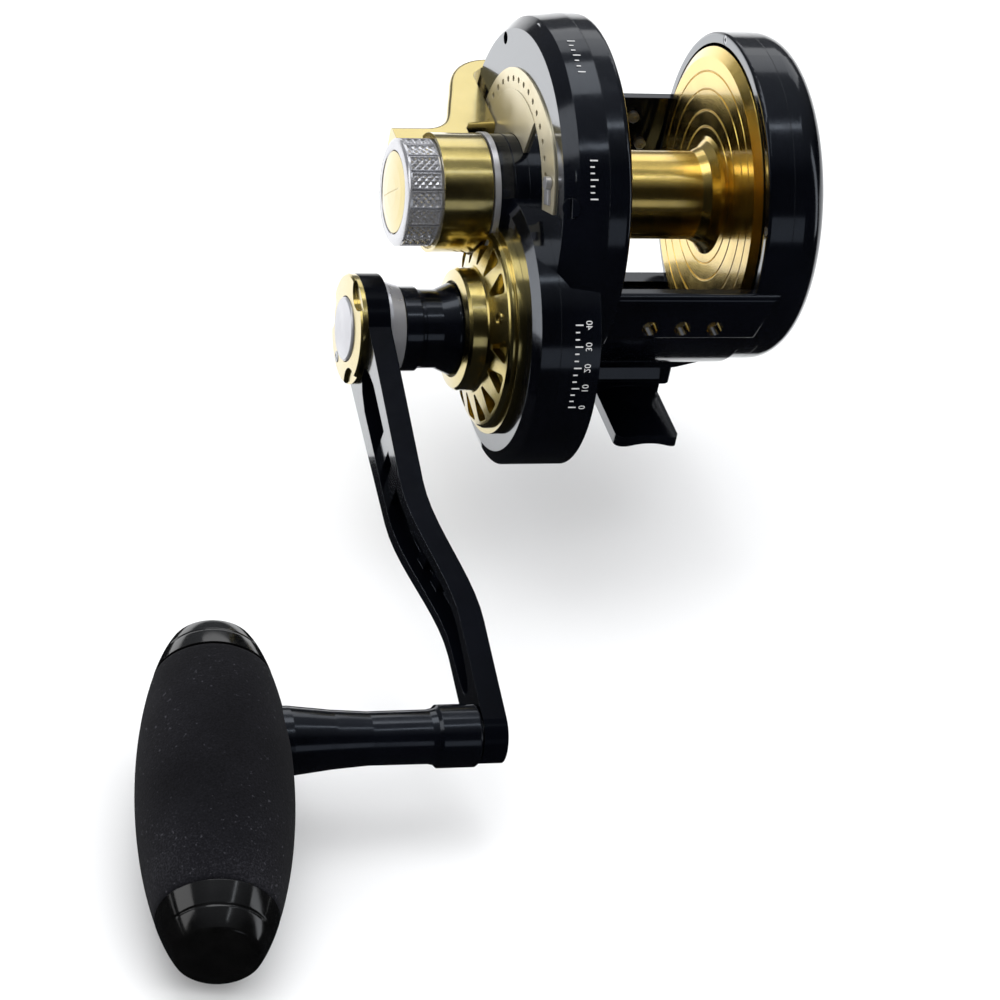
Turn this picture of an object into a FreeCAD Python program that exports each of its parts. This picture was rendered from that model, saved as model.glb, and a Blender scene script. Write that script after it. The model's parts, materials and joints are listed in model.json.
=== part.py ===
"""Lever-drag trolling reel, right-hand wind, in millimetres.

Row frame: +Z is up, +X runs along the spool axis from the handle side to the palm side, -Y is the front, where the
line leaves. The origin is the centre of the reel foot's underside. Each function below makes one physical piece or
one group of identical pieces.
"""
import FreeCAD, Part
import math
import os

V = FreeCAD.Vector

# ---- driving dimensions -------------------------------------------------------------------------------------
AXIS_Z = 40.0             # spool axis above the foot's underside
GEAR_MODULE = 0.8
MAIN_TEETH = 57
PINION_TEETH = 13
HANDLE_FRONT = 19.0       # handle axis in front of the spool axis

PLATE_R = 36.9            # gear-side plate and ring
PALM_R = 33.8             # palm-side ring and plate
LOBE_R = 27.6             # drive housing round the handle axis
FLANGE_R = 30.8           # spool flanges
ARBOR_R = 9.2
LINE_BAY = (-14.6, 13.6)  # x of the two flanges' inner faces
RING_BORE_R = 31.5

PLATE_FACE_X = -28.4      # gear-side plate's flat face
SEAM_X = -19.8            # joint of plate and frame
RING_BACK_X = -14.8       # gear ring's face towards the line bay
LOBE_FACE_X = -33.4
LOBE_SEAM_X = -28.1
PALM_RING_X = (15.0, 20.5)
PALM_FACE_X = 28.4

HUB_R = 12.2              # hub and lever boss
HUB_END_X = -34.5
LEVER_X = (-46.3, -36.1)  # lever boss
LEVER_REST = 172.0        # detent pin's direction with the lever at free, from the front towards the top, in degrees
BLADE_TOP = 7.4           # the lever blade's upper face above the spool axis, with the lever at free
BLADE_WIDTH = 8.6
BLADE_INNER_X = -29.3     # the blade's face towards the quadrant
KNOB_X = (-53.7, -46.0)   # drag preset knob
KNOB_R = 11.0

CONE_X = (-42.7, -33.4)   # vented cover: collar's front and flange's back
CONE_FLANGE_R = 21.4
WINDOWS = 16              # places for windows and screws

ARM_LENGTH = 99.2
ARM_DROP = 16.0           # handle arm's direction below the horizontal, in degrees
ARM_OUT_X = -63.2         # arm's outer face at the shaft
ARM_THICK = 4.7
ARM_STEP = 6.3            # how far the arm steps towards the reel
GRIP_X = -107.8           # where the grip's centre line crosses the stem's
GRIP_LENGTH = 77.4
GRIP_R = 14.75
GRIP_END_R = 6.5
GRIP_LEAD = 13.2          # how far the grip's centre is ahead of the stem
GRIP_DROP = 9.2
GRIP_RAKE = 9.3

FOOT_HALF = 32.5
FOOT_WIDTH = 13.6
SADDLE_R = 14.0

AXLE_R = 3.0
SHAFT_R = 4.0
FIT = 0.03                # radial play of a running fit
DRAG_GAP = 0.7            # drag washer to rotor with the lever at free
ROTOR_FACE_X = -18.4

CENTRE_DISTANCE = GEAR_MODULE * (MAIN_TEETH + PINION_TEETH) / 2
HANDLE_Y = -HANDLE_FRONT
HANDLE_Z = AXIS_Z - math.sqrt(CENTRE_DISTANCE ** 2 - HANDLE_FRONT ** 2)
SPOOL = (0.0, AXIS_Z)
HANDLE = (HANDLE_Y, HANDLE_Z)
ARM_DIR = V(0, -math.cos(math.radians(ARM_DROP)), -math.sin(math.radians(ARM_DROP)))
STEM_Y = HANDLE_Y + ARM_LENGTH * ARM_DIR.y
STEM_Z = HANDLE_Z + ARM_LENGTH * ARM_DIR.z
STEM = (STEM_Y, STEM_Z)


# ---- shape helpers ------------------------------------------------------------------------------------------
def rod(x0, x1, r, axis=SPOOL):
    """Solid cylinder along X."""
    return Part.makeCylinder(r, x1 - x0, V(x0, *axis), V(1, 0, 0))


def ring(x0, x1, outer, inner, axis=SPOOL):
    return rod(x0, x1, outer, axis).cut(rod(x0 - 1, x1 + 1, inner, axis))


def turned(profile, axis=SPOOL):
    """Solid of revolution about an X axis; the profile is a closed list of (x, radius)."""
    points = [V(x, axis[0], axis[1] + r) for x, r in profile]
    face = Part.Face(Part.makePolygon(points + points[:1]))
    return face.revolve(V(0, *axis), V(1, 0, 0), 360)


def block(x0, x1, y0, y1, z0, z1):
    return Part.makeBox(x1 - x0, y1 - y0, z1 - z0, V(x0, y0, z0))


def polar(angle, r, axis=SPOOL):
    """(y, z) at an angle from the front towards the top, in degrees."""
    a = math.radians(angle)
    return (axis[0] - r * math.cos(a), axis[1] + r * math.sin(a))


def fuse(shapes):
    return shapes[0].multiFuse(shapes[1:]).removeSplitter() if len(shapes) > 1 else shapes[0]


def round_edges(shape, radius, chosen):
    """Fillets the edges that chosen(edge) picks."""
    return shape.makeFillet(radius, [e for e in shape.Edges if chosen(e)])


def is_circle(edge, x, r, axis=SPOOL, slack=0.05):
    """True for a circular edge at that x and radius about that axis."""
    c = edge.Curve
    if c.TypeId != "Part::GeomCircle" or abs(c.Radius - r) > slack:
        return False
    return abs(c.Center.x - x) < slack and math.hypot(c.Center.y - axis[0], c.Center.z - axis[1]) < slack


def sector(x0, x1, outer, inner, start, end, axis=SPOOL):
    """Part of a ring between two angles, measured from the front towards the top."""
    middle = math.radians((start + end) / 2)
    arcs = []
    for r in (outer, inner):
        a, b = polar(start, r, axis), polar(end, r, axis)
        m = (axis[0] - r * math.cos(middle), axis[1] + r * math.sin(middle))
        arcs.append(Part.Arc(V(x0, *a), V(x0, *m), V(x0, *b)).toShape())
    ends = [Part.makeLine(V(x0, *polar(t, outer, axis)), V(x0, *polar(t, inner, axis))) for t in (start, end)]
    wire = Part.Wire(Part.__sortEdges__([arcs[0], ends[0], arcs[1], ends[1]]))
    return Part.Face(wire).extrude(V(x1 - x0, 0, 0))


def screw(x, y, z, head_r, head_h, shank_r, length, side):
    """Countersunk socket screw along X; side is +1 if its head faces +X."""
    way = V(side, 0, 0)
    head = Part.makeCone(shank_r, head_r, head_h, V(x - side * head_h, y, z), way)
    shank = Part.makeCylinder(shank_r, length, V(x - side * (head_h + length), y, z), way)
    socket = Part.makeCylinder(head_r * 0.42, head_h * 0.6, V(x - side * head_h * 0.6, y, z), way)
    return head.fuse(shank).cut(socket)


# ---- frame and side plates ----------------------------------------------------------------------------------
RING_SCREW_ANGLES = [38, 105, 172, 238]
RING_SCREW_R = 34.2
PALM_SCREW_ANGLES = [20, 110, 200, 290]
PALM_SCREW_R = 32.6


def frame():
    gear_ring = ring(SEAM_X, RING_BACK_X, PLATE_R, RING_BORE_R)
    gear_ring = round_edges(gear_ring, 1.4, lambda e: is_circle(e, RING_BACK_X, PLATE_R))
    palm_ring = ring(PALM_RING_X[0], PALM_RING_X[1], PALM_R, RING_BORE_R)
    palm_ring = round_edges(palm_ring, 0.8, lambda e: is_circle(e, PALM_RING_X[0], PALM_R))
    x0, z0, z1 = RING_BACK_X - 2, AXIS_Z - 12.7, AXIS_Z - 2.1
    face = [V(x0, -34.7, z0), V(16.6, -34.7, z0), V(20.4, -34.7, z1), V(x0, -34.7, z1)]
    front = Part.Face(Part.makePolygon(face + face[:1])).extrude(V(0, 2.9, 0))
    front = round_edges(front, 1.5, lambda e: e.BoundBox.YMax < -34 and e.Length > 9)
    for x in (-6.5, 0.4, 7.3):
        drilling = Part.makeCylinder(1.7, 6, V(x, -37, AXIS_Z - 9.8), V(0, 1, 0))
        front = front.cut(drilling)
    rear = block(RING_BACK_X - 2, 17.5, 31.8, 34.3, AXIS_Z - 14.0, AXIS_Z + 3.9)
    rear = round_edges(rear, 1.0, lambda e: e.BoundBox.YMin > 34 and e.BoundBox.XLength > 9)
    underside = [V(x0, -13.5, 5.8), V(9.9, -13.5, 5.8), V(17.5, -13.5, 7.9), V(17.5, -13.5, 8.4), V(x0, -13.5, 8.4)]
    floor = Part.Face(Part.makePolygon(underside + underside[:1])).extrude(V(0, 27, 0))
    shell = ring(RING_BACK_X - 1, PALM_RING_X[0] + 1, 34.6, 31.9)
    cheeks = [shell.common(block(-20, 20, y0, y1, 5.9, z)) for y0, y1, z in ((-34, -13, z0 + 1), (13, 22, 9.6))]
    pedestal = block(-9.9, 9.9, -13.5, 13.5, 5.8, 7.4)
    body = fuse([gear_ring, palm_ring, front, rear, floor, pedestal] + cheeks)
    body = body.cut(rod(RING_BACK_X - 6, PALM_RING_X[1] + 1, RING_BORE_R))
    for angle in RING_SCREW_ANGLES:
        y, z = polar(angle, RING_SCREW_R)
        body = body.cut(Part.makeCone(0.9, 1.75, 1.3, V(RING_BACK_X - 1.3, y, z), V(1, 0, 0)))
        body = body.cut(rod(SEAM_X - 1, RING_BACK_X, 0.9, (y, z)))
    for angle in PALM_SCREW_ANGLES:
        y, z = polar(angle, PALM_SCREW_R)
        body = body.cut(Part.makeCone(1.0, 0.6, 0.8, V(PALM_RING_X[0], y, z), V(1, 0, 0)))
        body = body.cut(rod(PALM_RING_X[0], PALM_RING_X[1] + 1, 0.6, (y, z)))
    for x, y in FOOT_SCREWS:
        body = body.cut(Part.makeCylinder(1.25, 10, V(x, y, 2), V(0, 0, 1)))
    return body


def gear_side_plate():
    disc = turned([(SEAM_X, 0), (PLATE_FACE_X, 0), (PLATE_FACE_X, 33.6), (-25.8, 36.2), (SEAM_X, PLATE_R)])
    lobe = rod(LOBE_SEAM_X, SEAM_X, LOBE_R, HANDLE)
    hub = rod(HUB_END_X, PLATE_FACE_X + 1.5, HUB_R)
    disc_hollow = rod(-26.4, SEAM_X + 1, 34.1)
    lobe_hollow = rod(LOBE_SEAM_X - 1, SEAM_X + 1, 25.6, HANDLE).cut(rod(-40, -26.4, 9.5))
    cap_seat = rod(PLATE_FACE_X - 1, LOBE_SEAM_X, LOBE_R, HANDLE)
    shell = disc.cut(cap_seat).fuse(lobe).cut(disc_hollow).cut(lobe_hollow)
    shell = shell.fuse(hub)
    shell = shell.cut(ring(-31.65, -31.35, HUB_R + 1, HUB_R - 0.25))
    shell = shell.cut(rod(HUB_END_X - 1, -32.0, 8.5))             # cam pocket
    shell = shell.cut(rod(-31.6, -26.0, 7.0))                     # pinion bearing's seat
    shell = shell.cut(rod(-33, -30, 5.6))
    for angle in RING_SCREW_ANGLES:
        shell = shell.fuse(rod(-26.5, SEAM_X, 1.7, polar(angle, RING_SCREW_R)).common(rod(-27, SEAM_X, 35.9)))
        shell = shell.cut(rod(-24.6, SEAM_X + 1, 0.9, polar(angle, RING_SCREW_R)))
    shell = shell.cut(plug_rod(-0.5, 2.5, 2.05))                  # oil port
    shell = shell.cut(rod(-29, -27.0, 1.3, polar(132, 32.2)))
    return shell.removeSplitter()


def drive_housing_cap():
    """Raised front of the drive housing, round the handle shaft and scalloped round the hub."""
    cap = turned([(LOBE_SEAM_X, 0), (LOBE_FACE_X, 0), (LOBE_FACE_X, 24.95), (-32.2, LOBE_R),
                  (LOBE_SEAM_X, LOBE_R)], HANDLE)
    cap = cap.cut(rod(-31.6, LOBE_SEAM_X + 1, 22.8, HANDLE))
    cap = cap.cut(rod(-50, -20, HUB_R + 0.05))
    cap = cap.cut(rod(-50, -20, 12.0, HANDLE))
    return cap


def bridge_plate():
    """Inner plate that closes the gear case and carries the inner bearings."""
    plate = rod(-21.4, SEAM_X, 34.0).fuse(rod(-21.4, SEAM_X, 25.5, HANDLE)).removeSplitter()
    for angle in RING_SCREW_ANGLES:
        plate = plate.cut(rod(-22, -19, 1.8, polar(angle, RING_SCREW_R)))
    plate = plate.cut(rod(-22, -19, 7.0))
    return plate.cut(rod(-22, -19, 5.5, HANDLE))


PLUG_ANGLE = 28.0


def plug_rod(depth0, depth1, r):
    """Cylinder square to the plate's chamfer, between two depths below its middle."""
    outwards = V(-1, -math.cos(math.radians(PLUG_ANGLE)), math.sin(math.radians(PLUG_ANGLE))).normalize()
    middle = V(-27.1, *polar(PLUG_ANGLE, 34.9))
    return Part.makeCylinder(r, depth1 - depth0, middle - outwards * depth0, outwards * -1)


GEAR_SCREW_LENGTH = 6.5


def gear_plate_screws():
    made = []
    for angle in RING_SCREW_ANGLES:
        y, z = polar(angle, RING_SCREW_R)
        made.append(screw(RING_BACK_X, y, z, 1.7, 1.25, 0.88, GEAR_SCREW_LENGTH, 1))
    return Part.makeCompound(made)


def housing_plug():
    """Oil port's plug, with a screwdriver slot."""
    plug = plug_rod(-0.25, 1.6, 2.0)
    y, z = polar(PLUG_ANGLE, 34.9)
    slot = Part.makeBox(6, 0.6, 6, V(-3, -0.3, -3))
    slot.rotate(V(0, 0, 0), V(1, 0, 0), -PLUG_ANGLE)
    slot.translate(V(-27.1, y, z))
    return plug.cut(slot.common(plug_rod(-0.3, 0.25, 3.0)))


def palm_side_plate():
    x0 = PALM_RING_X[1]
    plate = rod(x0, PALM_FACE_X, PALM_R)
    plate = round_edges(plate, 5.6, lambda e: is_circle(e, PALM_FACE_X, PALM_R))
    plate = plate.cut(rod(x0 - 1, 22.6, 31.4)).cut(rod(22.5, 26.2, 27.2))
    plate = plate.fuse(ring(x0 + 0.3, 26.4, 8.0, 4.5))
    for angle in PALM_SCREW_ANGLES:
        y, z = polar(angle, PALM_SCREW_R)
        plate = plate.cut(rod(x0 - 1, 24.2, 0.6, (y, z)))
    slot_y, slot_z = CLICK_AT
    return plate.cut(block(24, 31, slot_y - 2.1, slot_y + 2.1, slot_z - 3.6, slot_z + 6.6)).removeSplitter()


def palm_plate_screws():
    made = []
    for angle in PALM_SCREW_ANGLES:
        y, z = polar(angle, PALM_SCREW_R)
        made.append(screw(PALM_RING_X[0] + 0.05, y, z, 0.95, 0.75, 0.55, 8.0, -1))
    return Part.makeCompound(made)


# ---- foot ---------------------------------------------------------------------------------------------------
FOOT_SCREWS = [(x, y) for x in (-6.5, 6.5) for y in (-8.5, 8.5)]


def reel_foot():
    """Flanged foot with a saddle underside, clamped by the rod's hoods over both wings."""
    half = FOOT_WIDTH / 2
    outline = [V(0, -FOOT_HALF, -2), V(0, FOOT_HALF, -2), V(0, FOOT_HALF, 1.9), V(0, 14.5, 3.5), V(0, 13.5, 5.8),
               V(0, -13.5, 5.8), V(0, -14.5, 3.5), V(0, -FOOT_HALF, 1.9)]
    side = Part.Face(Part.makePolygon(outline + outline[:1])).extrude(V(24, 0, 0))
    side.translate(V(-12, 0, 0))
    wings = block(-half, half, -FOOT_HALF, FOOT_HALF, -3, 7)
    wings = round_edges(wings, 3.0, lambda e: e.BoundBox.ZLength > 9)
    base = block(-9.9, 9.9, -13.5, 13.5, 1.6, 7)
    base = round_edges(base, 1.6, lambda e: e.BoundBox.ZLength > 5)
    foot = side.common(wings.fuse(base))
    crown = Part.makeCylinder(15.8, 80, V(0, -40, -13.6), V(0, 1, 0))
    wing_zone = crown.fuse(block(-12, 12, -15.0, 15.0, -3, 7))
    foot = foot.common(wing_zone)
    saddle = Part.makeCylinder(SADDLE_R, 80, V(0, -40, -SADDLE_R), V(0, 1, 0))
    foot = foot.cut(saddle)
    for x, y in FOOT_SCREWS:
        foot = foot.cut(Part.makeCylinder(1.25, 10, V(x, y, -2), V(0, 0, 1)))
        foot = foot.cut(Part.makeCylinder(2.1, 4, V(x, y, -0.8), V(0, 0, 1)))
    return foot.removeSplitter()


def foot_screws():
    made = []
    for x, y in FOOT_SCREWS:
        head = Part.makeCylinder(2.05, 1.2, V(x, y, 1.95), V(0, 0, 1))
        shank = Part.makeCylinder(1.2, 4.5, V(x, y, 3.1), V(0, 0, 1))
        socket = Part.makeCylinder(0.9, 0.8, V(x, y, 1.9), V(0, 0, 1))
        made.append(head.fuse(shank).cut(socket))
    return Part.makeCompound(made)


REAR_SCREWS = [(7.0, AXIS_Z - 0.5), (9.7, AXIS_Z - 7.0)]


def rear_bar_screws():
    """Two cap screws that hold the rear bar to the gear ring."""
    made = []
    for x, z in REAR_SCREWS:
        head = Part.makeCylinder(1.25, 1.1, V(x, 30.7, z), V(0, 1, 0))
        made.append(head.cut(Part.makeCylinder(0.6, 0.6, V(x, 30.7, z), V(0, 1, 0))))
    return Part.makeCompound(made)


# ---- gear train ---------------------------------------------------------------------------------------------
def gear(x0, x1, teeth, axis, phase, shorten=0.0):
    """Spur gear with straight-sided teeth; phase turns it, in tooth pitches."""
    pitch_r = GEAR_MODULE * teeth / 2
    root_r = pitch_r - 1.2 * GEAR_MODULE
    tip_r = pitch_r + (0.95 - shorten) * GEAR_MODULE
    step = 2 * math.pi / teeth
    points = []
    for n in range(teeth):
        for share, r in ((-0.31, root_r), (-0.21, pitch_r), (-0.10, tip_r), (0.10, tip_r), (0.21, pitch_r),
                         (0.31, root_r)):
            a = (n + phase + share) * step
            points.append(V(x0, axis[0] - r * math.cos(a), axis[1] + r * math.sin(a)))
    return Part.Face(Part.makePolygon(points + points[:1])).extrude(V(x1 - x0, 0, 0))


TOWARDS_SPOOL = math.pi - math.atan2(AXIS_Z - HANDLE_Z, HANDLE_FRONT)
TOWARDS_HANDLE = TOWARDS_SPOOL + math.pi


def main_gear():
    phase = TOWARDS_SPOOL / (2 * math.pi / MAIN_TEETH)
    wheel = gear(-26.2, -22.4, MAIN_TEETH, HANDLE, phase)
    wheel = wheel.cut(rod(-27, -20, SHAFT_R, HANDLE))
    for n in range(6):
        wheel = wheel.cut(rod(-27, -20, 3.4, polar(60 * n + 16, 12.5, HANDLE)))
    return wheel


def pinion_gear():
    phase = TOWARDS_HANDLE / (2 * math.pi / PINION_TEETH) + 0.5
    teeth = gear(-26.2, -22.4, PINION_TEETH, SPOOL, phase)
    sleeve = turned([(-31.6, 3.4), (-31.6, 4.0), (-22.4, 4.0), (-22.4, 4.5), (-18.4, 4.5), (-18.4, 3.4)])
    return teeth.fuse(sleeve).cut(rod(-40, -10, 3.4)).removeSplitter()


def drag_rotor():
    return ring(ROTOR_FACE_X - 1.0, ROTOR_FACE_X, 26.0, 4.5)


def drag_washer():
    return ring(ROTOR_FACE_X + DRAG_GAP, LINE_BAY[0] - 2.3, 26.0, 13.0)


def drive_shaft():
    """Steps down for its inner bearing and ends in the handle nut's thread."""
    return turned([(-64.9, 0), (-64.9, 3.2), (-63.2, 3.2), (-63.2, SHAFT_R), (-22.0, SHAFT_R), (-22.0, 3.0),
                   (-19.9, 3.0), (-19.9, 0)], HANDLE)


def drive_sleeve():
    """Turned spacer between the handle and the roller clutch."""
    profile = [(-54.6, SHAFT_R), (-54.6, 8.2), (-54.2, 8.6), (-50.9, 8.6), (-50.5, 7.7), (-49.9, 7.7), (-49.9, 8.0),
               (-46.4, 8.0), (-43.4, 9.3), (-41.9, 9.3), (-41.9, 6.0), (-29.3, 6.0), (-29.3, SHAFT_R)]
    return turned(profile, HANDLE)


def drive_bearing_outer():
    return ring(-41.2, -38.2, 9.8, 6.0 + FIT, HANDLE)


def roller_clutch():
    return ring(-37.6, -31.8, 9.8, 6.0 + FIT, HANDLE)


def drive_bearing_inner():
    return ring(-21.9, SEAM_X - 0.1, 5.5, 3.0 + FIT, HANDLE)


def pinion_bearings():
    return Part.makeCompound([ring(-31.5, -28.5, 7.0, 4.0 + FIT), ring(-21.8, SEAM_X - 0.1, 7.0, 4.5 + FIT)])


RATCHET_TEETH = 16
RATCHET_R = 11.4


def ratchet_wheel():
    """Saw-toothed wheel that the anti-reverse dog falls into."""
    points = []
    step = 360 / RATCHET_TEETH
    for n in range(RATCHET_TEETH):
        points.append(V(-29.2, *polar(n * step, RATCHET_R, HANDLE)))
        points.append(V(-29.2, *polar(n * step + 0.12 * step, RATCHET_R - 1.5, HANDLE)))
    wheel = Part.Face(Part.makePolygon(points + points[:1])).extrude(V(2.4, 0, 0))
    return wheel.cut(rod(-30, -26, SHAFT_R, HANDLE))


DOG_AT = polar(-70, 17.6, HANDLE)


def anti_reverse_dog():
    """Pawl that hangs over the ratchet wheel on its pivot, held clear by its spring."""
    nose = polar(-34, RATCHET_R + 0.9, HANDLE)
    pivot = rod(-29.0, -27.0, 2.2, DOG_AT)
    away = V(0, nose[0] - DOG_AT[0], nose[1] - DOG_AT[1])
    across = V(1, 0, 0).cross(away).normalize() * 1.0
    base = V(-29.0, *DOG_AT)
    tip = V(-29.0, *nose)
    corners = [base + across * 1.6, tip + across * 0.55, tip - across * 0.55, base - across * 1.6]
    finger = Part.Face(Part.makePolygon(corners + corners[:1])).extrude(V(2.0, 0, 0))
    return pivot.fuse(finger).cut(rod(-30, -26, 1.24, DOG_AT)).removeSplitter()


def dog_pivot():
    return rod(-31.6, -26.6, 1.2, DOG_AT)


# ---- spool and axle -----------------------------------------------------------------------------------------
def spool():
    x0, x1 = LINE_BAY
    outline = [(x0 - 2.3, 0), (x0 - 2.3, FLANGE_R), (x0 - 0.9, FLANGE_R), (x0, FLANGE_R - 1.4), (x0, 12.6),
               (x0 + 1.2, 10.6), (x0 + 3.0, ARBOR_R), (x1 - 3.6, ARBOR_R), (x1 - 1.9, 10.0), (x1 - 0.5, 11.4),
               (x1, 12.2), (x1, FLANGE_R - 2.2), (x1 + 1.2, FLANGE_R), (x1 + 2.2, FLANGE_R), (x1 + 2.2, 12.0),
               (x1 + 3.9, 12.0), (x1 + 3.9, 0)]
    blank = turned(outline)
    blank = blank.cut(rod(x0 - 3, x1 + 5, 4.6))
    blank = blank.cut(rod(x0 - 3, x0 + 1.7, 6.5)).cut(rod(x1 - 0.1, x1 + 5, 6.5))
    for r in (14.2, 17.6, 21.9, 25.6):
        blank = blank.cut(turned([(x1 - 0.1, r - 0.25), (x1 + 0.25, r), (x1 - 0.1, r + 0.25)]))
        blank = blank.cut(turned([(x0 + 0.1, r - 0.25), (x0 - 0.25, r), (x0 + 0.1, r + 0.25)]))
    return blank


def spool_bearings():
    x0, x1 = LINE_BAY
    return Part.makeCompound([ring(x0 - 2.3, x0 + 1.7, 6.5, AXLE_R + FIT), ring(x1 - 0.1, x1 + 3.9, 6.5, AXLE_R + FIT)])


def click_ratchet():
    points = []
    for n in range(48):
        for share, r in ((-0.25, 11.0), (0.0, 12.0), (0.25, 11.0)):
            points.append(V(17.6, *polar((n + share) * 360 / 48, r)))
    wheel = Part.Face(Part.makePolygon(points + points[:1])).extrude(V(1.2, 0, 0))
    return wheel.cut(rod(16, 20, 8.4))


def spool_axle():
    return turned([(-51.4, 0), (-51.4, AXLE_R), (24.2, AXLE_R), (24.2, 0)])


def spool_spring_washers():
    return turned([(-17.7, AXLE_R), (-17.7, 4.4), (-17.35, 4.7), (-17.0, 4.4), (-17.0, AXLE_R)])


def axle_bushing():
    return turned([(20.9, AXLE_R + FIT), (20.9, 6.0), (21.2, 6.0), (21.2, 4.5), (25.4, 4.5), (25.4, AXLE_R + FIT)]
                  ).cut(rod(20.7, 21.25, 6.5).cut(rod(20.7, 21.25, 4.5)))


CLICK_AT = (9.5, AXIS_Z + 13.0)


def click_button():
    """Thumb button on the palm plate with the tongue that it carries; it slides down into the click ratchet."""
    y, z = CLICK_AT
    cap = Part.makeCylinder(3.0, 1.2, V(28.6, y, z + 1.5), V(1, 0, 0))
    neck = block(20.0, 28.8, y - 2.0, y + 2.0, z + 0.5, z + 3.0)
    tongue = block(17.9, 20.2, y - 1.2, y + 1.2, z - 0.5, z + 3.0)
    corners = [V(17.9, y - 1.2, z - 0.5), V(17.9, y + 1.2, z - 0.5), V(17.9, y - 0.4, z - 2.3)]
    point = Part.Face(Part.makePolygon(corners + corners[:1])).extrude(V(0.9, 0, 0))
    return fuse([cap, neck, tongue, point])


# ---- drag quadrant, lever and preset knob -------------------------------------------------------------------
DETENT_R = 23.4
DETENT_STEP = 8.6
DETENTS = 15


QUADRANT_RIM = [(24, 28.3), (33, 28.9), (45, 29.2), (60, 28.4), (75, 27.1), (90, 26.2), (105, 25.8), (125, 25.7),
                (145, 25.7), (166, 25.7)]     # (angle, radius)


def quadrant_plate():
    """Detent scale on the side plate, wider towards its full end, with a raised shield next to the hub."""
    start, end = QUADRANT_RIM[0][0], QUADRANT_RIM[-1][0]
    x0 = PLATE_FACE_X - 0.4
    rim = Part.BSplineCurve()
    rim.interpolate([V(x0, *polar(angle, r)) for angle, r in QUADRANT_RIM])
    middle = V(x0, *polar((start + end) / 2, 21.2))
    inner_ends = [V(x0, *polar(start, 21.2)), V(x0, *polar(end, 21.2))]
    rim_ends = [V(x0, *polar(*QUADRANT_RIM[0])), V(x0, *polar(*QUADRANT_RIM[-1]))]
    edges = [rim.toShape(), Part.makeLine(rim_ends[1], inner_ends[1]),
             Part.Arc(inner_ends[1], middle, inner_ends[0]).toShape(), Part.makeLine(inner_ends[0], rim_ends[0])]
    scale = Part.Face(Part.Wire(edges)).extrude(V(0.4, 0, 0))
    shield = sector(PLATE_FACE_X - 0.6, PLATE_FACE_X, 21.3, HUB_R + 0.1, 74, 164)
    plate = scale.fuse(shield)
    for n in range(DETENTS):
        angle = 41.5 + n * DETENT_STEP
        plate = plate.cut(rod(-31, -28, 0.62, polar(angle, DETENT_R)))
    return plate.removeSplitter()


def quadrant_stop():
    """Bright stop at the full end of the quadrant: an oblong foot with a round stub."""
    x1 = PLATE_FACE_X - 0.4
    foot = sector(x1 - 0.6, x1, 26.6, 23.9, 27.5, 36.5)
    foot = round_edges(foot, 0.25, lambda e: e.BoundBox.XMax < x1 - 0.5)
    return foot.fuse(rod(x1 - 1.2, x1 - 0.1, 1.3, polar(37.2, 26.4)))


def cam_ring_fixed():
    return turned([(-35.3, 8.4), (-32.1, 8.4), (-32.1, 3.4), (-40.4, 3.4), (-40.4, 5.0), (-35.3, 5.0)])


def cam_ring_turning():
    return turned([(-38.2, 5.4), (-38.2, 8.6), (-35.6, 8.6), (-35.6, 5.4)])


def lever_washer():
    return ring(HUB_END_X - 1.2, HUB_END_X, HUB_R + 0.25, 9.0)


ROOT_OUTER = [(-52.1, 13.5), (-44.6, 13.6)]                     # (x, y) of the root's back
BLADE_OUTER = [(-44.6, 13.6), (-42.3, 14.2), (-40.3, 15.9), (-39.1, 18.2), (-37.7, 22.8), (-36.2, 27.7),
               (-34.7, 32.7), (-33.1, 36.2), (-31.0, 38.8), (-28.4, 40.5), (-26.0, 41.2), (-23.8, 41.2),
               (-22.0, 40.6)]
BLADE_INNER = [(-21.1, 39.6), (-21.4, 38.0), (-25.6, 37.5), (-26.8, 37.0), (-28.8, 35.0), (BLADE_INNER_X, 33.8),
               (BLADE_INNER_X, 14.9), (-35.6, 14.0), (-36.1, 12.9), (-36.1, 6.0), (-46.0, 6.0), (-52.1, 6.0)]


def lever_blade():
    """One profile from the knob's hood to the tip that curls over the plate's rim; it lies back at free."""
    def place(point):
        return V(point[0], point[1], AXIS_Z + BLADE_TOP)
    curve = Part.BSplineCurve()
    curve.interpolate([place(p) for p in BLADE_OUTER])
    root = Part.makeLine(place(ROOT_OUTER[0]), place(ROOT_OUTER[1]))
    rest = Part.makePolygon([place(p) for p in [BLADE_OUTER[-1]] + BLADE_INNER + [ROOT_OUTER[0]]])
    blade = Part.Face(Part.Wire([root, curve.toShape()] + rest.Edges)).extrude(V(0, 0, -BLADE_WIDTH))
    back = ROOT_OUTER[0][1] - 0.1
    return round_edges(blade, 1.2, lambda e: e.BoundBox.YMin > back and e.BoundBox.ZLength < 0.1
                       and (e.BoundBox.XLength > 5))


def drag_lever():
    x0, x1 = LEVER_X
    lever = fuse([rod(x0, x1, HUB_R), lever_blade()])
    lever = lever.cut(rod(-60, -45.4, 11.45))                     # the preset knob's nest
    lever = lever.cut(rod(-60, -41.9, 8.2))                       # thrust stack's pocket
    lever = lever.cut(rod(-60, -30, 3.5))
    lever = lever.cut(rod(-41.0, -30, 5.0 + FIT))
    lever = lever.cut(rod(-38.3, -30, 8.6))
    return lever.cut(rod(-35.5, -28, 1.2, polar(LEVER_REST, DETENT_R))).removeSplitter()


def lever_detent():
    """Sprung plunger that clicks along the quadrant."""
    at = polar(LEVER_REST, DETENT_R)
    barrel = rod(-35.4, -30.7, 1.18, at)
    nose = Part.makeCone(1.18, 0.4, 1.5, V(-30.7, *at), V(1, 0, 0))
    return barrel.fuse(nose)


def preset_thrust_bearing():
    return ring(-44.2, -42.0, 8.1, 3.5)


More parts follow.
